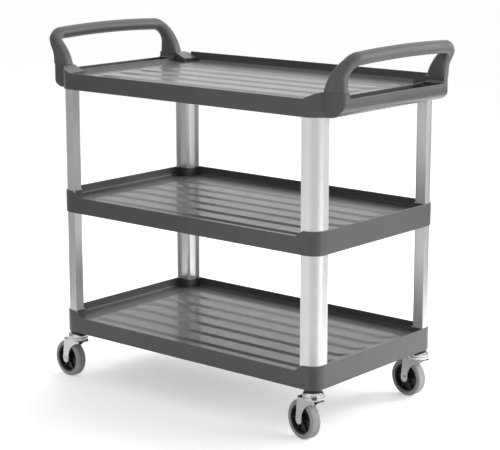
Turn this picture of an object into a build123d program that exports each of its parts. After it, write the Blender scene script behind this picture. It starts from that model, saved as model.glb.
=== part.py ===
from build123d import *

import math
import os

# A three-shelf service cart: moulded shelves on hollow aluminium uprights, two arched
# handles and four swivel casters. Millimetres, +Z up, floor at z = 0, centred in plan.
# The handles are at -X (left) and +X (right), and -Y is the front, where the lips are low.

os.makedirs("parts", exist_ok=True)

# Shelves
shelf_length = 872.0
shelf_width = 508.0
shelf_height = 60.0
shelf_pitch = 332.0
ground_clearance = 136.0
skirt_wall = 4.0
skirt_edge_radius = 2.5
rim_radius = 1.4
deck_thickness = 4.0
tray_depth = 26.0
tray_bend_radius = 8.5
rib_thickness = 2.5
rib_setback = 10.0
rib_spacing_x = 87.0
rib_spacing_y = 84.0
lip_drop = 16.0
lip_end_margin = 43.0
lip_slope_run = 22.0
lip_bend_radius = 6.0

# Raised bands on the decks
band_height = 3.0
band_slope_run = 14.0
band_edge_radius = 20.0
groove_width = 31.0
band_end_margin = 58.0
lower_band_count = 6
lower_band_pitch = 69.0
top_band_count = 5
top_band_pitch = 76.0

# Uprights, in the corners of the shelves
upright_leg = 47.0
upright_step = 8.0
upright_lip = 3.2
upright_wall = 2.2
upright_radius = 35.0
upright_inner_radius = 7.0
upright_inset = 3.0
socket_depth = 26.0
boss_drop = 2.0
socket_clearance = 0.15

# Bullnose ledge, trough and shoulders of the top shelf
ledge_reach = 51.0
ledge_width = 446.0
ledge_radius = 36.0
ledge_corner_radius = 13.0
ledge_blend_radius = 14.0
ledge_wall = 4.0
trough_bend_radius = 7.0
trough_rib_thickness = 3.0
trough_rib_gap = 14.0
trough_rib_count = 2
trough_rib_drop = 5.0
shoulder_end_margin = 8.0
shoulder_slope_run = 37.0

# Handles
handle_reach = 80.0
handle_rise = 100.0
handle_width = 460.0
grip_diameter = 33.0
handle_lean = 32.0
handle_bend_radius = 34.0
crown_angle = 3.5
foot_length = 57.0
foot_width = 26.0
foot_flare = 10.0
foot_squareness = 4.5
foot_reveal = 1.0
web_radius = 117.0
web_softness = 4.0
leg_blend_turn = 45.0
leg_station_count = 6
section_point_count = 24
handle_screw_radius = 3.0
handle_screw_head_radius = 4.5
handle_screw_head_height = 6.0
handle_screw_bite = 20.0
handle_screw_spacing = 12.0
handle_screw_setback = 17.0
handle_pad_thickness = 14.0
screw_clearance = 0.1
screw_access_clearance = 1.0

# Casters
caster_inset = 28.0
wheel_diameter = 100.0
caster_trail = 33.0
tyre_thickness = 12.0
tyre_width = 27.0
tyre_shoulder_radius = 6.0
tread_groove_width = 2.0
tread_groove_depth = 1.2
tread_groove_spacing = 8.0
core_rim_thickness = 4.0
core_rim_width = 23.0
core_web_thickness = 6.0
core_hub_radius = 13.0
core_hub_width = 30.0
core_spoke_count = 6
core_spoke_thickness = 3.0
core_spoke_width = 17.0
sleeve_radius = 8.0
sleeve_length = 32.4
axle_radius = 4.0
axle_head_radius = 6.5
axle_head_height = 3.2
axle_key_radius = 2.6
axle_key_depth = 1.8
axle_end = 0.5
nut_radius = 7.5
nut_height = 5.0
fork_steel = 2.5
fork_bend_radius = 5.0
fork_end_radius = 11.0
fork_front_reach = 21.0
fork_back_reach = 38.0
fork_strap_width = 19.0
fork_skirt = 7.0
crown_radius = 28.0
crown_wall = 2.0
crown_gap = 0.8
crown_corner_radius = 4.0
wheel_headroom = 8.4
ball_radius = 3.0
ball_circle_radius = 20.0
ball_count = 14
cup_radius = 27.0
cup_top_radius = 20.5
cup_height = 12.0
cup_skirt = 2.5
ring_radius = 21.0
ring_chamfer = 1.0
pin_radius = 6.5
pin_head_radius = 10.0
pin_head_height = 5.0
stem_radius = 5.5
stem_length = 40.0
stem_socket_radius = 8.0
stem_socket_length = 44.0
plug_radius = 11.0
running_clearance = 0.08
bearing_clearance = 0.3
fit_clearance = 0.05

# Swivel angle of each caster as it was left standing: the way its wheel trails, from +X
corners = {
    "front_left": (-1, -1),
    "front_right": (1, -1),
    "back_left": (-1, 1),
    "back_right": (1, 1),
}
trail_heading = {
    "front_left": 176.0,
    "front_right": 168.0,
    "back_left": 177.0,
    "back_right": 174.0,
}

# Levels and places that follow from the sizes above
bottom_base = ground_clearance
middle_base = bottom_base + shelf_pitch
top_base = middle_base + shelf_pitch
shelf_end = shelf_length / 2
shelf_side = shelf_width / 2
corner_radius = upright_radius + upright_inset
floor_height = shelf_height - tray_depth
lip_height = shelf_height - lip_drop
ledge_end = shelf_end + ledge_reach
ledge_side = ledge_width / 2
foot_start = ledge_end - foot_length
foot_y = ledge_side - foot_width / 2
trough_side = ledge_side - foot_width
grip_radius = grip_diameter / 2
seat_level = top_base + shelf_height
leg_x = ledge_end - grip_radius
leg_y = handle_width / 2 - grip_radius
foot_screw_x = foot_start + handle_screw_setback
foot_screw_places = [foot_y + side * handle_screw_spacing / 2 for side in (-1, 1)]


def upright_outline(side_x, side_y, grow):
    """Section of the upright in one corner, swollen by grow all round."""
    box_edge = upright_leg - upright_step
    reaches = ((box_edge, box_edge), (upright_leg, upright_lip), (upright_lip, upright_leg))
    with BuildSketch() as outline:
        for reach_x, reach_y in reaches:
            centre_x = side_x * (shelf_end - upright_inset - reach_x / 2)
            centre_y = side_y * (shelf_side - upright_inset - reach_y / 2)
            with Locations((centre_x, centre_y)):
                Rectangle(reach_x + 2 * grow, reach_y + 2 * grow)
        fillet(outline.vertices().sort_by_distance((0, 0))[-1], upright_radius + grow)
        fillet(outline.vertices().sort_by_distance((0, 0))[0], upright_inner_radius + grow)
    return outline.sketch


def upright_bore(side_x, side_y):
    """Hollow inside an upright's box."""
    box_edge = upright_leg - upright_step
    bore = box_edge - 2 * upright_wall
    with BuildSketch() as outline:
        centre_x = side_x * (shelf_end - upright_inset - box_edge / 2)
        centre_y = side_y * (shelf_side - upright_inset - box_edge / 2)
        with Locations((centre_x, centre_y)):
            Rectangle(bore, bore)
        fillet(outline.vertices().sort_by_distance((0, 0))[-1], upright_radius - upright_wall)
        fillet(outline.vertices().sort_by_distance((0, 0))[0], upright_inner_radius - upright_wall)
    return outline.sketch


def lip_notch(base, top_half, bottom_half):
    """Side view of the stretch cut out of a front rim, with a soft bend at each end of its slopes."""
    clear = top_half + lip_bend_radius
    with BuildSketch(Plane.XZ) as notch:
        with BuildLine():
            Polyline(
                (-clear, base + shelf_height + lip_drop),
                (-clear, base + shelf_height),
                (-top_half, base + shelf_height),
                (-bottom_half, base + lip_height),
                (bottom_half, base + lip_height),
                (top_half, base + shelf_height),
                (clear, base + shelf_height),
                (clear, base + shelf_height + lip_drop),
                close=True,
            )
        make_face()
        bends = notch.vertices().filter_by(lambda vertex: abs(vertex.X) < top_half + lip_bend_radius / 2)
        fillet(bends, lip_bend_radius)
    return notch.sketch


def deck_bands(level, band_count, band_pitch):
    """Raised bands along a deck, flat on top, with long gentle sides that meet it in a soft edge."""
    foot_run = shelf_length - 2 * band_end_margin
    top_width = band_pitch - groove_width
    with BuildPart() as band:
        with BuildSketch(Plane.XY.offset(level)):
            SlotOverall(foot_run, top_width + 2 * band_slope_run)
        with BuildSketch(Plane.XY.offset(level + band_height)):
            SlotOverall(foot_run - 2 * band_slope_run, top_width)
        loft(ruled=True)
        fillet(band.faces().sort_by(Axis.Z)[-1].edges(), band_edge_radius)
    with BuildPart() as bands:
        with GridLocations(0, band_pitch, 1, band_count):
            add(band.part)
    return bands.part


def shelf_blank(base, notch, notch_depth, band_count, band_pitch):
    """A moulded shelf: rounded rim cut down along the front, tray, ribbed underside, bosses for
    the corner sockets, and raised bands on the deck."""
    inner_length = shelf_length - 2 * skirt_wall
    inner_width = shelf_width - 2 * skirt_wall
    deck_under = floor_height - deck_thickness
    with BuildPart() as blank:
        with BuildSketch(Plane.XY.offset(base)):
            RectangleRounded(shelf_length, shelf_width, corner_radius)
        extrude(amount=shelf_height)
        fillet(blank.faces().sort_by(Axis.Z)[0].edges(), skirt_edge_radius)
        with BuildSketch(Plane.XY.offset(base + floor_height)):
            RectangleRounded(inner_length, inner_width, corner_radius - skirt_wall)
        extrude(amount=tray_depth, mode=Mode.SUBTRACT)
        floor_edges = blank.edges().filter_by(lambda edge: abs(edge.center().Z - base - floor_height) < 0.01)
        fillet(floor_edges, tray_bend_radius)
        with BuildSketch(Plane.XY.offset(base)):
            RectangleRounded(inner_length, inner_width, corner_radius - skirt_wall)
        extrude(amount=deck_under, mode=Mode.SUBTRACT)
        with BuildSketch(Plane.XZ.offset(shelf_side)):
            add(notch)
        extrude(amount=-corner_radius, mode=Mode.SUBTRACT)
        high_edges = blank.edges().filter_by(lambda edge: edge.center().Z > base + lip_height - rim_radius / 2)
        rails = high_edges.filter_by(Axis.Z, reverse=True)
        cross_edges = rails.filter_by(Axis.Y).filter_by(lambda edge: edge.length < 2 * skirt_wall)
        fillet(rails - cross_edges, rim_radius)
        with BuildSketch(Plane.XY.offset(base + rib_setback)):
            with GridLocations(rib_spacing_x, 0, int(inner_length / rib_spacing_x), 1):
                Rectangle(rib_thickness, inner_width + skirt_wall)
            with GridLocations(0, rib_spacing_y, 1, int(inner_width / rib_spacing_y)):
                Rectangle(inner_length + skirt_wall, rib_thickness)
        extrude(amount=deck_under - rib_setback)
        for side_x, side_y in corners.values():
            with BuildSketch(Plane.XY.offset(base + skirt_edge_radius)):
                add(upright_outline(side_x, side_y, upright_inset))
            extrude(amount=shelf_height - boss_drop - skirt_edge_radius)
            with BuildSketch(Plane.XY.offset(base)):
                add(upright_outline(side_x, side_y, upright_inset - skirt_edge_radius))
            extrude(amount=shelf_height - boss_drop)
        with BuildSketch(Plane.XZ.offset(shelf_side)):
            add(notch)
        extrude(amount=-notch_depth, mode=Mode.SUBTRACT)
        add(deck_bands(base + floor_height, band_count, band_pitch))
    return blank.part


# The two lower shelves: full-height ends and back, a low lip along the front
lower_notch_top = shelf_end - lip_end_margin
lower_notch_bottom = lower_notch_top - lip_slope_run
lip_cut_depth = upright_lip + 2 * upright_inset

with BuildPart() as middle_shelf:
    lip = lip_notch(middle_base, lower_notch_top, lower_notch_bottom)
    add(shelf_blank(middle_base, lip, lip_cut_depth, lower_band_count, lower_band_pitch))
    for side_x, side_y in corners.values():
        upper_socket = middle_base + shelf_height - socket_depth
        with BuildSketch(Plane.XY.offset(middle_base), Plane.XY.offset(upper_socket)):
            add(upright_outline(side_x, side_y, socket_clearance))
        extrude(amount=socket_depth, mode=Mode.SUBTRACT)
middle_shelf.part.label = "middle_shelf"
export_step(middle_shelf.part, "parts/middle_shelf.step")

with BuildPart() as bottom_shelf:
    lip = lip_notch(bottom_base, lower_notch_top, lower_notch_bottom)
    add(shelf_blank(bottom_base, lip, lip_cut_depth, lower_band_count, lower_band_pitch))
    for side_x, side_y in corners.values():
        upper_socket = bottom_base + shelf_height - socket_depth
        caster_x = side_x * (shelf_end - caster_inset)
        caster_y = side_y * (shelf_side - caster_inset)
        with BuildSketch(Plane.XY.offset(upper_socket)):
            add(upright_outline(side_x, side_y, socket_clearance))
        extrude(amount=socket_depth, mode=Mode.SUBTRACT)
        with BuildSketch(Plane.XY.offset(bottom_base)):
            with Locations((caster_x, caster_y)):
                Circle(plug_radius)
        extrude(amount=stem_socket_length + skirt_wall)
        with BuildSketch(Plane.XY.offset(bottom_base)):
            with Locations((caster_x, caster_y)):
                Circle(stem_socket_radius + fit_clearance)
        extrude(amount=stem_socket_length, mode=Mode.SUBTRACT)
bottom_shelf.part.label = "bottom_shelf"
export_step(bottom_shelf.part, "parts/bottom_shelf.step")

# The top shelf: low lips at the front and the ends, a bullnose ledge with an open trough beyond
# each end wall, and sloped shoulders that lead up to the four handle feet
shoulder_top = shelf_end - shoulder_end_margin
shoulder_bottom = shoulder_top - shoulder_slope_run


def end_ledge(side_x):
    """The bullnose block beyond one end of the top shelf, before its trough is hollowed out. Its
    ends run into the shelf's round corners in a soft curve."""
    inset = skirt_wall / 2
    with BuildPart() as ledge:
        with BuildSketch(Plane.XY.offset(top_base)) as plan:
            RectangleRounded(shelf_length, shelf_width, corner_radius)
            with Locations((side_x * (shelf_end + (ledge_reach - corner_radius) / 2), 0)):
                Rectangle(ledge_reach + corner_radius, ledge_width)
            ends = plan.vertices().filter_by(lambda vertex: abs(abs(vertex.Y) - ledge_side) < 0.01)
            outer_ends = ends.filter_by(lambda vertex: abs(abs(vertex.X) - ledge_end) < 0.01)
            fillet(ends - outer_ends, ledge_blend_radius)
            outer_ends = plan.vertices().sort_by(Axis.X, reverse=side_x > 0)[:2]
            fillet(outer_ends, ledge_corner_radius)
            RectangleRounded(
                shelf_length - 2 * inset, shelf_width - 2 * inset, corner_radius - inset, mode=Mode.SUBTRACT
            )
            with Locations((side_x * shelf_end, 0)):
                Rectangle(
                    2 * (ledge_reach + inset), ledge_width + 2 * ledge_blend_radius, mode=Mode.INTERSECT
                )
        extrude(amount=shelf_height)
        with BuildSketch(Plane.XZ) as profile:
            profile_x = side_x * (shelf_end + (ledge_reach - corner_radius) / 2)
            with Locations((profile_x, top_base + shelf_height / 2)):
                Rectangle(ledge_reach + corner_radius, shelf_height)
            nose = profile.vertices().filter_by(lambda vertex: abs(vertex.X) > shelf_end)
            fillet(nose.sort_by(Axis.Y)[0], ledge_radius)
        extrude(amount=shelf_side, both=True, mode=Mode.INTERSECT)
    return ledge.part


with BuildPart() as top_shelf:
    lip = lip_notch(top_base, shoulder_top, shoulder_bottom)
    add(shelf_blank(top_base, lip, lip_cut_depth, top_band_count, top_band_pitch))
    for side_x, side_y in corners.values():
        with BuildSketch(Plane.XY.offset(top_base + floor_height)):
            block_x = shelf_end - shoulder_bottom
            block_y = shelf_side - trough_side
            with Locations((side_x * (shelf_end - block_x / 2), side_y * (shelf_side - block_y / 2))):
                Rectangle(block_x - skirt_wall, block_y - skirt_wall)
            RectangleRounded(
                shelf_length - skirt_wall, shelf_width - skirt_wall, corner_radius - skirt_wall / 2,
                mode=Mode.INTERSECT,
            )
        extrude(amount=tray_depth)
    for side_x in (-1, 1):
        add(end_ledge(side_x))
    with BuildSketch(Plane.XZ.offset(shelf_side)):
        add(lip)
    extrude(amount=-(shelf_width - skirt_wall), mode=Mode.SUBTRACT)
    for side_x in (-1, 1):
        end_plane = Plane.YZ.offset(side_x * (shelf_end - skirt_wall))
        with BuildSketch(end_plane) as end_lip:
            with Locations((0, top_base + lip_height + lip_drop)):
                Rectangle(2 * trough_side, 2 * lip_drop)
            fillet(end_lip.vertices().group_by(Axis.Y)[0], trough_bend_radius)
        extrude(amount=side_x * (ledge_reach + skirt_wall), mode=Mode.SUBTRACT)
        trough_reach = ledge_reach - ledge_wall
        trough_rise = shelf_height - ledge_wall
        trough_x = side_x * (shelf_end + trough_reach / 2)
        with BuildSketch(Plane.XZ) as trough:
            with Locations((trough_x, top_base + ledge_wall + trough_rise / 2)):
                Rectangle(trough_reach, trough_rise)
            nose = trough.vertices().filter_by(lambda vertex: abs(vertex.X) > shelf_end + ledge_wall)
            fillet(nose.sort_by(Axis.Y)[0], ledge_radius - ledge_wall)
        extrude(amount=trough_side - ledge_wall, both=True, mode=Mode.SUBTRACT)
        for side_y in (-1, 1):
            for turn in range(trough_rib_count):
                rib_y = side_y * (trough_side - ledge_wall - (turn + 1) * trough_rib_gap)
                rib_rise = lip_height - ledge_wall / 2 - trough_rib_drop
                with BuildSketch(Plane.XZ.offset(-rib_y)) as rib:
                    with Locations((trough_x, top_base + (ledge_wall + rib_rise) / 2)):
                        Rectangle(trough_reach + ledge_wall, rib_rise)
                    nose = rib.vertices().filter_by(lambda vertex: abs(vertex.X) > shelf_end + ledge_wall)
                    fillet(nose.sort_by(Axis.Y)[0], ledge_radius - ledge_wall / 2)
                extrude(amount=trough_rib_thickness / 2, both=True)
    for side_x, side_y in corners.values():
        with BuildSketch(Plane.XY.offset(top_base)):
            add(upright_outline(side_x, side_y, socket_clearance))
        extrude(amount=socket_depth, mode=Mode.SUBTRACT)
        screw_places = [(side_x * foot_screw_x, side_y * place) for place in foot_screw_places]
        with BuildSketch(Plane.XY.offset(top_base)):
            with Locations(*screw_places):
                Circle(handle_screw_radius + screw_clearance)
        extrude(amount=shelf_height, mode=Mode.SUBTRACT)
        with BuildSketch(Plane.XY.offset(top_base)):
            with Locations(*screw_places):
                Circle(handle_screw_head_radius + screw_access_clearance)
        extrude(amount=shelf_height - handle_pad_thickness, mode=Mode.SUBTRACT)
    lip_lines = top_shelf.edges().filter_by(Axis.Y).filter_by(lambda edge: edge.length > trough_side)
    end_lips = lip_lines.filter_by(lambda edge: abs(edge.center().Z - top_base - lip_height) < rim_radius)
    fillet(end_lips, rim_radius)
top_shelf.part.label = "top_shelf"
export_step(top_shelf.part, "parts/top_shelf.step")

# The uprights, hollow, seated between facing sockets
upright_spans = {
    "lower": (bottom_base + shelf_height - socket_depth, middle_base + socket_depth),
    "upper": (middle_base + shelf_height - socket_depth, top_base + socket_depth),
}
for level, (foot, head) in upright_spans.items():
    for corner, (side_x, side_y) in corners.items():
        with BuildPart() as upright:
            with BuildSketch(Plane.XY.offset(foot)):
                add(upright_outline(side_x, side_y, 0))
                add(upright_bore(side_x, side_y), mode=Mode.SUBTRACT)
            extrude(amount=head - foot)
        upright.part.label = f"{level}_upright_{corner}"
        export_step(upright.part, f"parts/{level}_upright_{corner}.step")

# The handles: two legs that rise from broad feet, lean outward and thin into a round bar, which
# arches across the end. The inner side of each leg sweeps up from the shelf in one long curve.
lean = math.radians(handle_lean)
crown = math.radians(crown_angle)
grip_end_y = leg_y - handle_bend_radius * (1 - math.sin(crown))
crown_radius_of_grip = grip_end_y / math.sin(crown)
arch_rise = handle_bend_radius * math.cos(crown) + crown_radius_of_grip * (1 - math.cos(crown))
grip_x = shelf_end + handle_reach - grip_radius
grip_level = seat_level + handle_rise - grip_radius
lean_end_x = grip_x - arch_rise * math.sin(lean)
lean_end_level = grip_level - arch_rise * math.cos(lean)
lean_radius = (lean_end_x - leg_x) / (1 - math.cos(lean))
lean_start_level = lean_end_level - lean_radius * math.sin(lean)
arch_plane = Plane(
    origin=(lean_end_x, 0, lean_end_level),
    x_dir=(0, 1, 0),
    z_dir=(math.cos(lean), 0, -math.sin(lean)),
)

# Centre of the long curve, which ends on the grip's axis
sweep_chord = math.hypot(grip_x - foot_start, grip_level - seat_level)
sweep_back = math.sqrt(web_radius**2 - sweep_chord**2 / 4) / sweep_chord
sweep_x = (foot_start + grip_x) / 2 + sweep_back * (grip_level - seat_level)
sweep_level = (seat_level + grip_level) / 2 - sweep_back * (grip_x - foot_start)


def inner_reach(start_x, start_level, tilt):
    """Way inward from a point of the leg's outer side to the long curve, in a plane at that tilt."""
    to_x = start_x - sweep_x
    to_level = start_level - sweep_level
    along = to_level * math.sin(tilt) - to_x * math.cos(tilt)
    return math.sqrt(along**2 + web_radius**2 - to_x**2 - to_level**2) - along


def leg_section(plane, half_x, half_y, squareness, flare):
    """Closed section of a leg: round at the grip, squarer and flared to the outer side at the foot."""
    points = []
    for turn in range(section_point_count):
        angle = 2 * math.pi * turn / section_point_count
        share_x = math.copysign(abs(math.cos(angle)) ** (2 / squareness), math.cos(angle))
        share_y = math.copysign(abs(math.sin(angle)) ** (2 / squareness), math.sin(angle))
        pushed = flare * max(share_y, 0) * max(-share_x, 0)
        points.append((half_x * share_x, half_y * share_y + pushed))
    with BuildSketch(plane) as section:
        with BuildLine():
            Spline(*points, periodic=True)
        make_face()
    return section.sketch.face()


# Even stations up a leg: straight from the seat, through the lean and into the first bend
lean_way = lean_start_level - seat_level
bend_way = lean_way + lean_radius * lean
blend_turn = math.radians(leg_blend_turn)
leg_way = bend_way + handle_bend_radius * blend_turn
leg_sections = []
for step in range(leg_station_count):
    way = foot_reveal + (leg_way - foot_reveal) * step / (leg_station_count - 1)
    tilt = min(max(way - lean_way, 0) / lean_radius, lean)
    turn = max(way - bend_way, 0) / handle_bend_radius
    bend_rise = handle_bend_radius * math.sin(turn)
    axis_x = leg_x + lean_radius * (1 - math.cos(tilt)) + bend_rise * math.sin(lean)
    axis_y = handle_bend_radius * (math.cos(turn) - 1)
    axis_level = seat_level + min(way, lean_way) + lean_radius * math.sin(tilt) + bend_rise * math.cos(lean)
    risen = way / leg_way
    outer_x = axis_x + grip_radius * math.cos(tilt)
    outer_level = axis_level - grip_radius * math.sin(tilt)
    spare = inner_reach(outer_x, outer_level, tilt) - grip_diameter
    web = (spare + math.hypot(spare, web_softness)) / 2 * (1 - turn / blend_turn)
    half_x = grip_radius + web / 2
    half_y = (foot_width + (grip_diameter - foot_width) * risen) / 2
    lean_y = foot_y + (leg_y - foot_y) * min(way / bend_way, 1)
    section_plane = Plane(
        origin=(axis_x - web / 2 * math.cos(tilt), lean_y + axis_y, axis_level + web / 2 * math.sin(tilt)),
        x_dir=(math.cos(tilt), 0, -math.sin(tilt)),
        z_dir=(math.sin(tilt) * math.cos(turn), -math.sin(turn), math.cos(tilt) * math.cos(turn)),
    )
    squareness = 2 + (foot_squareness - 2) * (1 - risen) ** 1.5
    leg_sections.append(leg_section(section_plane, half_x, half_y, squareness, foot_flare * (1 - risen)))

with BuildPart() as handle_leg:
    loft(leg_sections)
    foot_plane = Plane((ledge_end - foot_length / 2, foot_y, seat_level))
    foot_half = foot_length / 2 - foot_reveal
    add(leg_section(foot_plane, foot_half, foot_width / 2 - foot_reveal, foot_squareness, foot_flare))
    extrude(amount=2 * foot_reveal)

with BuildPart() as handle_right:
    with BuildLine(arch_plane) as arch:
        blend_y = leg_y - handle_bend_radius * (1 - math.cos(blend_turn))
        blend_rise = handle_bend_radius * math.sin(blend_turn)
        blend_heading = (-math.sin(blend_turn), math.cos(blend_turn))
        bend_left = 90 - crown_angle - leg_blend_turn
        first_bend = JernArc((blend_y, blend_rise), blend_heading, handle_bend_radius, bend_left)
        grip = JernArc(first_bend @ 1, first_bend % 1, crown_radius_of_grip, 2 * crown_angle)
        JernArc(grip @ 1, grip % 1, handle_bend_radius, bend_left)
    add(leg_sections[-1])
    sweep()
    add(handle_leg.part)
    mirror(handle_leg.part, about=Plane.XZ)
    with BuildSketch(Plane.XY.offset(seat_level)):
        with Locations(*[(foot_screw_x, side_y * place) for place in foot_screw_places for side_y in (-1, 1)]):
            Circle(handle_screw_radius + fit_clearance)
    extrude(amount=handle_screw_bite, mode=Mode.SUBTRACT)
handle_right.part.label = "handle_right"
export_step(handle_right.part, "parts/handle_right.step")

with BuildPart() as handle_left:
    mirror(handle_right.part, about=Plane.YZ)
handle_left.part.label = "handle_left"
export_step(handle_left.part, "parts/handle_left.step")

with BuildPart() as handle_screws:
    screw_seat = seat_level - handle_pad_thickness
    screw_places = [
        (side_x * foot_screw_x, side_y * place)
        for side_x, side_y in corners.values()
        for place in foot_screw_places
    ]
    with BuildSketch(Plane.XY.offset(screw_seat - handle_screw_head_height)):
        with Locations(*screw_places):
            Circle(handle_screw_head_radius)
    extrude(amount=handle_screw_head_height)
    with BuildSketch(Plane.XY.offset(screw_seat)):
        with Locations(*screw_places):
            Circle(handle_screw_radius)
    extrude(amount=handle_pad_thickness + handle_screw_bite - screw_access_clearance)
handle_screws.part.label = "handle_screws"
export_step(handle_screws.part, "parts/handle_screws.step")

# The casters: a stem pressed into the bottom shelf, a swivelling fork under a ball race,
# and a wheel that runs on a sleeve held between the fork's legs
axle_level = wheel_diameter / 2
plate_under = wheel_diameter + wheel_headroom
plate_top = plate_under + fork_steel
cup_under = plate_top + 2 * (ball_radius + bearing_clearance)
cup_top = cup_under + cup_height
tyre_inner = wheel_diameter / 2 - tyre_thickness
fork_width = sleeve_length + 2 * fork_steel
nut_side = fork_width / 2 + nut_height

for corner, (side_x, side_y) in corners.items():
    heading = math.radians(trail_heading[corner])
    trail = Vector(math.cos(heading), math.sin(heading), 0)
    across = Vector(-math.sin(heading), math.cos(heading), 0)
    swivel = Vector(side_x * (shelf_end - caster_inset), side_y * (shelf_side - caster_inset), 0)
    axle = swivel + trail * caster_trail + Vector(0, 0, axle_level)
    swivel_axis = Axis(swivel, (0, 0, 1))
    axle_axis = Axis(axle, across)
    plan_view = Plane(origin=swivel, x_dir=trail, z_dir=(0, 0, 1))
    side_view = Plane(origin=swivel, x_dir=trail, z_dir=-across)
    end_view = Plane(origin=swivel, x_dir=across, z_dir=trail)
    wheel_view = Plane(origin=axle, x_dir=trail, z_dir=-across)
    wheel_section = Plane(origin=axle, x_dir=across, z_dir=trail)

    with BuildPart() as stem_socket:
        with BuildSketch(plan_view.offset(bottom_base)):
            Circle(stem_socket_radius)
            Circle(stem_radius + fit_clearance, mode=Mode.SUBTRACT)
        extrude(amount=stem_socket_length)
    stem_socket.part.label = f"{corner}_stem_socket"
    export_step(stem_socket.part, f"parts/{corner}_stem_socket.step")

    with BuildPart() as stem:
        pin_head_top = plate_under - bearing_clearance
        with BuildSketch(side_view):
            with BuildLine():
                Polyline(
                    (0, pin_head_top - pin_head_height),
                    (pin_head_radius, pin_head_top - pin_head_height),
                    (pin_head_radius, pin_head_top),
                    (pin_radius, pin_head_top),
                    (pin_radius, cup_under),
                    (stem_radius, cup_under),
                    (stem_radius, bottom_base + stem_length),
                    (0, bottom_base + stem_length),
                    close=True,
                )
            make_face()
        revolve(axis=swivel_axis)
    stem.part.label = f"{corner}_stem"
    export_step(stem.part, f"parts/{corner}_stem.step")

    with BuildPart() as dust_ring:
        with BuildSketch(plan_view.offset(cup_top)):
            Circle(ring_radius)
            Circle(stem_radius + fit_clearance, mode=Mode.SUBTRACT)
        extrude(amount=bottom_base - cup_top)
        circles = dust_ring.edges().filter_by(GeomType.CIRCLE)
        rim = circles.filter_by(lambda edge: edge.radius > ring_radius / 2)
        chamfer(rim, ring_chamfer)
    dust_ring.part.label = f"{corner}_dust_ring"
    export_step(dust_ring.part, f"parts/{corner}_dust_ring.step")

    with BuildPart() as top_cup:
        with BuildSketch(side_view):
            with BuildLine():
                skirt = Polyline(
                    (cup_top_radius, cup_top),
                    (stem_radius + fit_clearance, cup_top),
                    (stem_radius + fit_clearance, cup_under),
                    (cup_radius, cup_under),
                    (cup_radius, cup_under + cup_skirt),
                )
                TangentArc(skirt @ 1, skirt @ 0, tangent=skirt % 1)
            make_face()
        revolve(axis=swivel_axis)
    top_cup.part.label = f"{corner}_top_cup"
    export_step(top_cup.part, f"parts/{corner}_top_cup.step")

    with BuildPart() as balls:
        with Locations(plan_view.offset(plate_top + bearing_clearance + ball_radius)):
            with PolarLocations(ball_circle_radius, ball_count):
                Sphere(ball_radius)
    balls.part.label = f"{corner}_balls"
    export_step(balls.part, f"parts/{corner}_balls.step")

    with BuildPart() as fork:
        with BuildSketch(side_view):
            skirt_level = plate_under - fork_skirt
            strap_front = fork_back_reach - fork_strap_width
            with BuildLine():
                Line((strap_front, plate_top), (fork_back_reach, plate_top))
                CenterArc((caster_trail, axle_level), fork_end_radius, 0, 360)
            make_hull()
            with BuildLine():
                web_foot = (caster_trail - fork_end_radius, axle_level + fork_end_radius)
                RadiusArc((-fork_front_reach, skirt_level), web_foot, wheel_diameter / 2)
                Polyline(
                    web_foot,
                    (caster_trail, plate_top),
                    (-fork_front_reach, plate_top),
                    (-fork_front_reach, skirt_level),
                )
            make_face()
        extrude(amount=fork_width, both=True)
        with BuildSketch(end_view) as channel:
            with Locations((0, plate_top / 2)):
                Rectangle(fork_width, plate_top)
            fillet(channel.vertices().group_by(Axis.Y)[-1], fork_bend_radius)
            with Locations((0, plate_under / 2)):
                Rectangle(sleeve_length, plate_under, mode=Mode.SUBTRACT)
        extrude(amount=wheel_diameter, both=True, mode=Mode.INTERSECT)
        with BuildSketch(side_view) as crown_profile:
            with BuildLine():
                crown_inner = crown_radius - crown_wall
                Polyline(
                    (0, plate_under),
                    (crown_radius, plate_under),
                    (crown_radius, cup_under - crown_gap),
                    (crown_inner, cup_under - crown_gap),
                    (crown_inner, plate_top),
                    (0, plate_top),
                    close=True,
                )
            make_face()
            outer_turn = crown_profile.vertices().group_by(Axis.Y)[0].sort_by(Axis.X)[-1]
            fillet(outer_turn, crown_corner_radius)
        revolve(axis=swivel_axis)
        with BuildSketch(plan_view):
            Circle(pin_radius + running_clearance)
        extrude(amount=cup_under, mode=Mode.SUBTRACT)
        with BuildSketch(wheel_view):
            Circle(axle_radius + fit_clearance)
        extrude(amount=fork_width, both=True, mode=Mode.SUBTRACT)
    fork.part.label = f"{corner}_fork"
    export_step(fork.part, f"parts/{corner}_fork.step")

    with BuildPart() as axle_bolt:
        with BuildSketch(wheel_section) as bolt_profile:
            with BuildLine():
                Polyline(
                    (-nut_side - axle_end, 0),
                    (-nut_side - axle_end, axle_radius),
                    (fork_width / 2, axle_radius),
                    (fork_width / 2, axle_head_radius),
                    (fork_width / 2 + axle_head_height, axle_head_radius),
                    (fork_width / 2 + axle_head_height, 0),
                    close=True,
                )
            make_face()
            head_turn = bolt_profile.vertices().group_by(Axis.Y)[-1].sort_by(Axis.X)[-1]
            fillet(head_turn, axle_key_radius)
        revolve(axis=axle_axis)
        with BuildSketch(wheel_view.offset(-fork_width / 2 - axle_head_height)):
            RegularPolygon(axle_key_radius, 6)
        extrude(amount=axle_key_depth, mode=Mode.SUBTRACT)
    axle_bolt.part.label = f"{corner}_axle_bolt"
    export_step(axle_bolt.part, f"parts/{corner}_axle_bolt.step")

    with BuildPart() as axle_nut:
        with BuildSketch(wheel_view.offset(fork_width / 2)):
            RegularPolygon(nut_radius, 6)
            Circle(axle_radius + fit_clearance, mode=Mode.SUBTRACT)
        extrude(amount=nut_height)
    axle_nut.part.label = f"{corner}_axle_nut"
    export_step(axle_nut.part, f"parts/{corner}_axle_nut.step")

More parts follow.
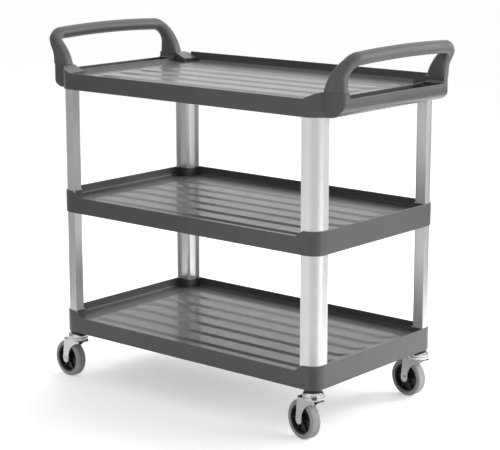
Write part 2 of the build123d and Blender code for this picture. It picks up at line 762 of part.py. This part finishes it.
    with BuildPart() as axle_sleeve:
        with BuildSketch(wheel_view):
            Circle(sleeve_radius)
            Circle(axle_radius + fit_clearance, mode=Mode.SUBTRACT)
        extrude(amount=sleeve_length / 2, both=True)
    axle_sleeve.part.label = f"{corner}_axle_sleeve"
    export_step(axle_sleeve.part, f"parts/{corner}_axle_sleeve.step")

    with BuildPart() as wheel_core:
        with BuildSketch(wheel_view):
            Circle(tyre_inner)
            Circle(tyre_inner - core_rim_thickness, mode=Mode.SUBTRACT)
        extrude(amount=core_rim_width / 2, both=True)
        with BuildSketch(wheel_view):
            Circle(tyre_inner - core_rim_thickness / 2)
        extrude(amount=core_web_thickness / 2, both=True)
        with BuildSketch(wheel_view):
            Circle(core_hub_radius)
        extrude(amount=core_hub_width / 2, both=True)
        with BuildSketch(wheel_view):
            spoke_length = tyre_inner - core_rim_thickness / 2
            for turn in range(core_spoke_count):
                with Locations(Rot(0, 0, turn * 360 / core_spoke_count)):
                    Rectangle(spoke_length, core_spoke_thickness, align=(Align.MIN, Align.CENTER))
        extrude(amount=core_spoke_width / 2, both=True)
        with BuildSketch(wheel_view):
            Circle(sleeve_radius + running_clearance)
        extrude(amount=core_hub_width, both=True, mode=Mode.SUBTRACT)
    wheel_core.part.label = f"{corner}_wheel_core"
    export_step(wheel_core.part, f"parts/{corner}_wheel_core.step")

    with BuildPart() as tyre:
        with BuildSketch(wheel_section) as tyre_profile:
            with Locations((0, tyre_inner + fit_clearance + (tyre_thickness - fit_clearance) / 2)):
                Rectangle(tyre_width, tyre_thickness - fit_clearance)
            fillet(tyre_profile.vertices().group_by(Axis.Y)[-1], tyre_shoulder_radius)
            with GridLocations(tread_groove_spacing, 0, 2, 1):
                with Locations((0, wheel_diameter / 2)):
                    Rectangle(tread_groove_width, 2 * tread_groove_depth, mode=Mode.SUBTRACT)
        revolve(axis=axle_axis)
    tyre.part.label = f"{corner}_tyre"
    export_step(tyre.part, f"parts/{corner}_tyre.step")
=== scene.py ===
import math

import bpy
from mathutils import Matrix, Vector

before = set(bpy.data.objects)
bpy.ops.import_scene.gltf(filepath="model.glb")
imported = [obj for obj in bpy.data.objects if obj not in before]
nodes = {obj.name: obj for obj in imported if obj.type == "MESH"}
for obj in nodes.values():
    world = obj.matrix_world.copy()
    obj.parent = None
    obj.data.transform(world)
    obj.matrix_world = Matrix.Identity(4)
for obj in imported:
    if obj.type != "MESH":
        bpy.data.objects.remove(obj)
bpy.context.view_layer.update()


# Shelves: three trays, each injection-moulded in one piece from charcoal plastic, with an upright's socket in
# every corner. The mould leaves a fine grain under a thin glossy skin. What faces up is lightened towards pale
# grey, partly by a little dust and partly by a painted sheen, which is strongest on the shelves' decks. Other
# pieces have that grain and a little of the dust and painted sheen too, so each is a node group.
def feed(tree, socket, value):
    if isinstance(value, bpy.types.NodeSocket):
        tree.links.new(value, socket)
    elif socket.type == "RGBA":
        socket.default_value = (*value, 1.0)
    else:
        socket.default_value = value


def new_group(name, inputs, outputs):
    group = bpy.data.node_groups.new(name, "ShaderNodeTree")
    for title, kind in inputs:
        group.interface.new_socket(title, in_out="INPUT", socket_type=kind)
    for title in outputs:
        group.interface.new_socket(title, in_out="OUTPUT", socket_type="NodeSocketFloat")
    return group, group.nodes.new("NodeGroupInput").outputs, group.nodes.new("NodeGroupOutput").inputs


def group_in(tree, group, **values):
    node = tree.nodes.new("ShaderNodeGroup")
    node.node_tree = group
    for title, value in values.items():
        feed(tree, node.inputs[title.replace("_", " ")], value)
    return node.outputs


def noise_in(tree, vector, scale, detail, roughness=0.5):
    noise = tree.nodes.new("ShaderNodeTexNoise")
    feed(tree, noise.inputs["Vector"], vector)
    feed(tree, noise.inputs["Scale"], scale)
    feed(tree, noise.inputs["Detail"], detail)
    feed(tree, noise.inputs["Roughness"], roughness)
    return noise.outputs["Fac"]


def ranged(tree, value, source=(0.0, 1.0), target=(0.0, 1.0)):
    spread = tree.nodes.new("ShaderNodeMapRange")
    feed(tree, spread.inputs["Value"], value)
    spread.inputs["From Min"].default_value, spread.inputs["From Max"].default_value = source
    spread.inputs["To Min"].default_value, spread.inputs["To Max"].default_value = target
    return spread.outputs["Result"]


def combined(tree, operation, first, second):
    math_node = tree.nodes.new("ShaderNodeMath")
    math_node.operation = operation
    feed(tree, math_node.inputs[0], first)
    feed(tree, math_node.inputs[1], second)
    return math_node.outputs["Value"]


def blended(tree, factor, low_colour, high_colour):
    mix = tree.nodes.new("ShaderNodeMix")
    mix.data_type = "RGBA"
    factor_socket, low_socket, high_socket = mix.inputs[0], mix.inputs[6], mix.inputs[7]
    feed(tree, factor_socket, factor)
    feed(tree, low_socket, low_colour)
    feed(tree, high_socket, high_colour)
    return mix.outputs[2]


def placed_coordinates(tree, stretch=(1.0, 1.0, 1.0)):
    coordinates = tree.nodes.new("ShaderNodeTexCoord")
    mapping = tree.nodes.new("ShaderNodeMapping")
    mapping.inputs["Scale"].default_value = stretch
    feed(tree, mapping.inputs["Vector"], coordinates.outputs["Object"])
    return mapping.outputs["Vector"]


def bumped(tree, shader, height, strength, distance):
    bump = tree.nodes.new("ShaderNodeBump")
    feed(tree, bump.inputs["Height"], height)
    feed(tree, bump.inputs["Strength"], strength)
    feed(tree, bump.inputs["Distance"], distance)
    feed(tree, shader.inputs["Normal"], bump.outputs["Normal"])


def principled(name, metallic):
    material = bpy.data.materials.new(name)
    material.use_nodes = True
    shader = material.node_tree.nodes["Principled BSDF"]
    shader.inputs["Metallic"].default_value = metallic
    return material, material.node_tree, shader


def dress(material, *endings):
    for name, node in nodes.items():
        if name.endswith(endings):
            for slot in node.material_slots:
                slot.material = material


moulded_grain, grain_in, grain_out = new_group(
    "moulded_grain",
    inputs=(("Vector", "NodeSocketVector"), ("Pebble Scale", "NodeSocketFloat")),
    outputs=("Height", "Mottle", "Rub"),
)
pebbles = noise_in(moulded_grain, grain_in["Vector"], grain_in["Pebble Scale"], detail=2.0, roughness=0.55)
flow = noise_in(moulded_grain, grain_in["Vector"], scale=7.0, detail=4.0, roughness=0.6)
rub = noise_in(moulded_grain, grain_in["Vector"], scale=34.0, detail=5.0, roughness=0.65)
feed(moulded_grain, grain_out["Height"], pebbles)
feed(moulded_grain, grain_out["Mottle"], ranged(moulded_grain, flow, source=(0.3, 0.7)))
feed(moulded_grain, grain_out["Rub"], ranged(moulded_grain, rub, source=(0.35, 0.75)))

# Lightens what faces up: partly dust, partly a painted sheen that stands in for overhead light on the decks.
dust_and_painted_sheen, dust_and_sheen_in, dust_and_sheen_out = new_group(
    "dust_and_painted_sheen",
    inputs=(("Vector", "NodeSocketVector"), ("Amount", "NodeSocketFloat")),
    outputs=("Mask",),
)
facing = dust_and_painted_sheen.nodes.new("ShaderNodeNewGeometry")
facing_parts = dust_and_painted_sheen.nodes.new("ShaderNodeSeparateXYZ")
feed(dust_and_painted_sheen, facing_parts.inputs["Vector"], facing.outputs["Normal"])
upward = ranged(dust_and_painted_sheen, facing_parts.outputs["Z"], source=(0.35, 1.0))
drift = noise_in(dust_and_painted_sheen, dust_and_sheen_in["Vector"], scale=11.0, detail=6.0, roughness=0.7)
patches = ranged(dust_and_painted_sheen, drift, source=(0.35, 0.7), target=(0.6, 1.0))
dust_and_sheen_on_top = combined(dust_and_painted_sheen, "MULTIPLY", upward, patches)
feed(dust_and_painted_sheen, dust_and_sheen_out["Mask"], combined(dust_and_painted_sheen, "MULTIPLY", dust_and_sheen_on_top, dust_and_sheen_in["Amount"]))

pebble_scale = 900.0
# Pale grey of the dust and of the painted sheen on upward faces.
dust_and_sheen_colour = (0.42, 0.41, 0.39)


def moulded_plastic(name, dark, light, roughness, pebble_depth, dust_and_sheen):
    material, tree, shader = principled(name, metallic=0.0)
    place = placed_coordinates(tree)
    grain = group_in(tree, moulded_grain, Vector=place, Pebble_Scale=pebble_scale)
    # Blends the colour towards pale grey where faces point up: a little dust and a painted sheen.
    dust_and_sheen_layer = group_in(tree, dust_and_painted_sheen, Vector=place, Amount=dust_and_sheen)
    plastic = blended(tree, grain["Mottle"], dark, light)
    feed(tree, shader.inputs["Base Color"], blended(tree, dust_and_sheen_layer["Mask"], plastic, dust_and_sheen_colour))
    feed(tree, shader.inputs["Roughness"], ranged(tree, grain["Rub"], target=roughness))
    bumped(tree, shader, grain["Height"], strength=0.35, distance=pebble_depth)
    return material


# The shelves' large amount of upward lightening is mostly painted sheen on the decks, only partly dust.
shelf_plastic = moulded_plastic(
    "charcoal_shelf_plastic",
    dark=(0.054, 0.055, 0.057),
    light=(0.064, 0.065, 0.067),
    roughness=(0.40, 0.52),
    pebble_depth=0.00004,
    dust_and_sheen=0.18,
)
shelf_skin = shelf_plastic.node_tree.nodes["Principled BSDF"]
shelf_skin.inputs["Coat Weight"].default_value = 0.4
shelf_skin.inputs["Coat Roughness"].default_value = 0.12
dress(shelf_plastic, "_shelf")


# Uprights: hollow aluminium corner extrusions with a satin anodised skin, cut to length and seated in the shelves'
# sockets. The die leaves faint lines along them, so the pattern is drawn out in Z.
upright_metal, tree, shader = principled("anodised_upright", metallic=1.0)
drawn_out = placed_coordinates(tree, stretch=(1.0, 1.0, 0.02))
die_lines = noise_in(tree, drawn_out, scale=420.0, detail=3.0, roughness=0.6)
cloud = noise_in(tree, placed_coordinates(tree), scale=6.0, detail=3.0)
anodised_colour = blended(tree, cloud, (0.70, 0.703, 0.706), (0.76, 0.762, 0.764))
feed(tree, shader.inputs["Base Color"], anodised_colour)
feed(tree, shader.inputs["Roughness"], ranged(tree, die_lines, source=(0.3, 0.7), target=(0.3, 0.42)))
bumped(tree, shader, die_lines, strength=0.12, distance=0.0001)
corners = ("front_left", "front_right", "back_left", "back_right")
dress(upright_metal, *(f"_upright_{corner}" for corner in corners))


# Handles: arches moulded in a slightly lighter charcoal plastic without the glossy skin, one on each end of the
# top shelf. Zinc-plated screws hold their feet from below.
handle_plastic = moulded_plastic(
    "charcoal_handle_plastic",
    dark=(0.082, 0.083, 0.085),
    light=(0.094, 0.095, 0.097),
    roughness=(0.40, 0.52),
    pebble_depth=0.0001,
    dust_and_sheen=0.02,
)
dress(handle_plastic, "handle_left", "handle_right")


# Casters: pressed steel forks, cups and stems, plated with zinc, which grows faint crystals. Brighter bolts, nuts
# and screws hold them and the handles, and polished balls carry the fork. The dust ring, the stem's socket and the
# wheel's core are black plastic.
zinc_bloom, bloom_in, bloom_out = new_group(
    "zinc_bloom",
    inputs=(("Vector", "NodeSocketVector"), ("Crystal Scale", "NodeSocketFloat")),
    outputs=("Tint", "Haze"),
)
crystals = zinc_bloom.nodes.new("ShaderNodeTexVoronoi")
feed(zinc_bloom, crystals.inputs["Vector"], bloom_in["Vector"])
feed(zinc_bloom, crystals.inputs["Scale"], bloom_in["Crystal Scale"])
haze = noise_in(zinc_bloom, bloom_in["Vector"], scale=60.0, detail=4.0, roughness=0.6)
feed(zinc_bloom, bloom_out["Tint"], ranged(zinc_bloom, crystals.outputs["Distance"], source=(0.0, 0.8)))
feed(zinc_bloom, bloom_out["Haze"], ranged(zinc_bloom, haze, source=(0.3, 0.7)))
crystal_scale = 160.0


def plated_steel(name, dull, bright, roughness):
    material, tree, shader = principled(name, metallic=1.0)
    bloom = group_in(tree, zinc_bloom, Vector=placed_coordinates(tree), Crystal_Scale=crystal_scale)
    feed(tree, shader.inputs["Base Color"], blended(tree, bloom["Tint"], dull, bright))
    feed(tree, shader.inputs["Roughness"], ranged(tree, bloom["Haze"], target=roughness))
    return material


zinc_steel = plated_steel(
    "zinc_plated_steel", dull=(0.56, 0.562, 0.565), bright=(0.64, 0.642, 0.644), roughness=(0.10, 0.20)
)
fastener_steel = plated_steel(
    "zinc_plated_fastener", dull=(0.60, 0.61, 0.63), bright=(0.72, 0.73, 0.74), roughness=(0.2, 0.34)
)
ball_steel = plated_steel(
    "polished_ball_steel", dull=(0.62, 0.62, 0.63), bright=(0.68, 0.68, 0.69), roughness=(0.06, 0.12)
)
black_plastic = moulded_plastic(
    "black_caster_plastic",
    dark=(0.010, 0.010, 0.011),
    light=(0.016, 0.016, 0.017),
    roughness=(0.28, 0.42),
    pebble_depth=0.0001,
    dust_and_sheen=0.02,
)
dress(zinc_steel, "_stem", "_top_cup", "_fork", "_axle_sleeve")
dress(fastener_steel, "_axle_bolt", "_axle_nut", "_screws")
dress(ball_steel, "_balls")
dress(black_plastic, "_stem_socket", "_dust_ring", "_wheel_core")


# Tyres: grey rubber that leaves no marks, moulded onto the wheel's core. It is matt and porous, and rolling scuffs
# it paler in patches.
tyre_rubber, tree, shader = principled("grey_tyre_rubber", metallic=0.0)
place = placed_coordinates(tree)
scuffs = noise_in(tree, place, scale=70.0, detail=6.0, roughness=0.7)
scuff_mask = ranged(tree, scuffs, source=(0.35, 0.75))
rubber_pores = noise_in(tree, place, scale=1400.0, detail=2.0)
rubber_colour = blended(tree, scuff_mask, (0.30, 0.301, 0.305), (0.38, 0.379, 0.376))
feed(tree, shader.inputs["Base Color"], rubber_colour)
feed(tree, shader.inputs["Roughness"], ranged(tree, scuff_mask, target=(0.5, 0.72)))
bumped(tree, shader, rubber_pores, strength=0.3, distance=0.0002)
dress(tyre_rubber, "_tyre")


# Floor and studio: a wide pale floor that keeps the cart's soft shadow, in a white room. What the camera sees and
# what metal mirrors of them is paler than the light they give.
def level_by_ray(tree, seen, mirrored, lighting):
    light_path = tree.nodes.new("ShaderNodeLightPath")
    off_metal_or_glass = combined(
        tree, "MAXIMUM", light_path.outputs["Is Glossy Ray"], light_path.outputs["Is Transmission Ray"]
    )
    seen_level = combined(tree, "MULTIPLY", light_path.outputs["Is Camera Ray"], seen)
    mirrored_level = combined(tree, "MULTIPLY", off_metal_or_glass, mirrored)
    return combined(tree, "MAXIMUM", combined(tree, "MAXIMUM", seen_level, mirrored_level), lighting)


def stage_paint(name):
    paint = bpy.data.materials.new(name)
    paint.use_nodes = True
    paint.node_tree.nodes.remove(paint.node_tree.nodes["Principled BSDF"])
    return paint, paint.node_tree, paint.node_tree.nodes["Material Output"].inputs["Surface"]


floor_size = 40.0
bpy.ops.object.select_all(action="DESELECT")
bpy.ops.mesh.primitive_plane_add(size=floor_size, location=(0.0, 0.0, 0.0))
floor = bpy.context.active_object
floor.name = "pale_floor"
floor_paint, tree, surface = stage_paint("pale_floor_paint")
matt = tree.nodes.new("ShaderNodeBsdfDiffuse")
feed(tree, matt.inputs["Color"], (0.95, 0.95, 0.95))
glow = tree.nodes.new("ShaderNodeEmission")
feed(tree, glow.inputs["Strength"], level_by_ray(tree, seen=0.43, mirrored=0.22, lighting=0.0))
both = tree.nodes.new("ShaderNodeAddShader")
feed(tree, both.inputs[0], matt.outputs["BSDF"])
feed(tree, both.inputs[1], glow.outputs["Emission"])
feed(tree, surface, both.outputs["Shader"])
floor.data.materials.append(floor_paint)

studio = bpy.data.worlds.new("white_studio")
bpy.context.scene.world = studio
studio.use_nodes = True
tree = studio.node_tree
background = tree.nodes["Background"]
feed(tree, background.inputs["Color"], (1.0, 1.0, 1.0))
feed(tree, background.inputs["Strength"], level_by_ray(tree, seen=1.0, mirrored=1.0, lighting=0.59))


# Cards: boards that glow at set levels and stand on the floor around the cart, out of the camera's sight. They
# light nothing, and only give the bare metal and the glossy decks something to mirror: their glow is painted
# reflection, bright bands and dark streaks in those surfaces.
def standing_card(name, azimuth, distance, width, height, level):
    angle = math.radians(azimuth)
    place = (distance * math.cos(angle), distance * math.sin(angle), height / 2)
    upright_and_facing_in = (math.pi / 2, 0.0, angle + math.pi / 2)
    bpy.ops.object.select_all(action="DESELECT")
    bpy.ops.mesh.primitive_plane_add(size=1.0, location=place, rotation=upright_and_facing_in)
    card = bpy.context.active_object
    card.name = name
    card.scale = (width, height, 1.0)
    card.visible_camera = card.visible_diffuse = card.visible_shadow = False
    paint, tree, surface = stage_paint(name + "_paint")
    glow = tree.nodes.new("ShaderNodeEmission")
    feed(tree, glow.inputs["Color"], (level, level, level))
    feed(tree, surface, glow.outputs["Emission"])
    card.data.materials.append(paint)


standing_card("camera_side_card", azimuth=-42.0, distance=1.15, width=1.0, height=1.6, level=0.72)
standing_card("left_card", azimuth=-152.0, distance=1.15, width=1.3, height=1.6, level=0.42)
standing_card("right_card", azimuth=26.0, distance=1.3, width=0.9, height=1.6, level=0.84)
standing_card("back_right_card", azimuth=55.0, distance=1.4, width=1.1, height=1.6, level=0.33)
standing_card("back_card", azimuth=132.0, distance=2.6, width=4.4, height=3.6, level=1.25)
standing_card("low_dark_card", azimuth=-38.0, distance=0.8, width=0.45, height=0.085, level=0.04)


# Lamps: a large softbox overhead for the shadow, one low on the right for the end faces, and a small one behind,
# which metal mirrors.
def softbox(name, place, target, width, height, power, mirrored):
    light = bpy.data.lights.new(name, "AREA")
    light.shape = "RECTANGLE"
    light.size, light.size_y, light.energy = width, height, power
    lamp = bpy.data.objects.new(name, light)
    bpy.context.scene.collection.objects.link(lamp)
    lamp.location = place
    lamp.rotation_euler = (Vector(target) - Vector(place)).to_track_quat("-Z", "Y").to_euler()
    lamp.visible_glossy = mirrored


softbox(
    "overhead_softbox",
    place=(-0.5, 1.5, 3.0), target=(0.0, 0.0, 0.4), width=2.6, height=2.6, power=52.0, mirrored=False,
)
softbox(
    "right_softbox",
    place=(2.6, 0.9, 0.62), target=(0.3, 0.0, 0.45), width=1.4, height=0.9, power=36.0, mirrored=False,
)
softbox(
    "back_softbox",
    place=(1.66, 2.16, 1.5), target=(0.0, 0.0, 0.5), width=0.8, height=0.8, power=40.0, mirrored=True,
)


# Camera: a long lens a little above the top shelf, off the near corner and without roll. The shift lowers the
# frame to the photograph's.
camera_data = bpy.data.cameras.new("photo_camera")
camera_data.sensor_width = 36.0
camera_data.lens = 117.32
camera_data.shift_y = -0.05
camera_pitch_down = 0.1955
camera_turn = 0.6995
camera = bpy.data.objects.new("photo_camera", camera_data)
bpy.context.scene.collection.objects.link(camera)
camera.location = (2.7292, -3.2226, 1.3508)
camera.rotation_euler = (math.pi / 2 - camera_pitch_down, 0.0, camera_turn)
bpy.context.scene.camera = camera
bpy.context.scene.view_settings.view_transform = "Standard"
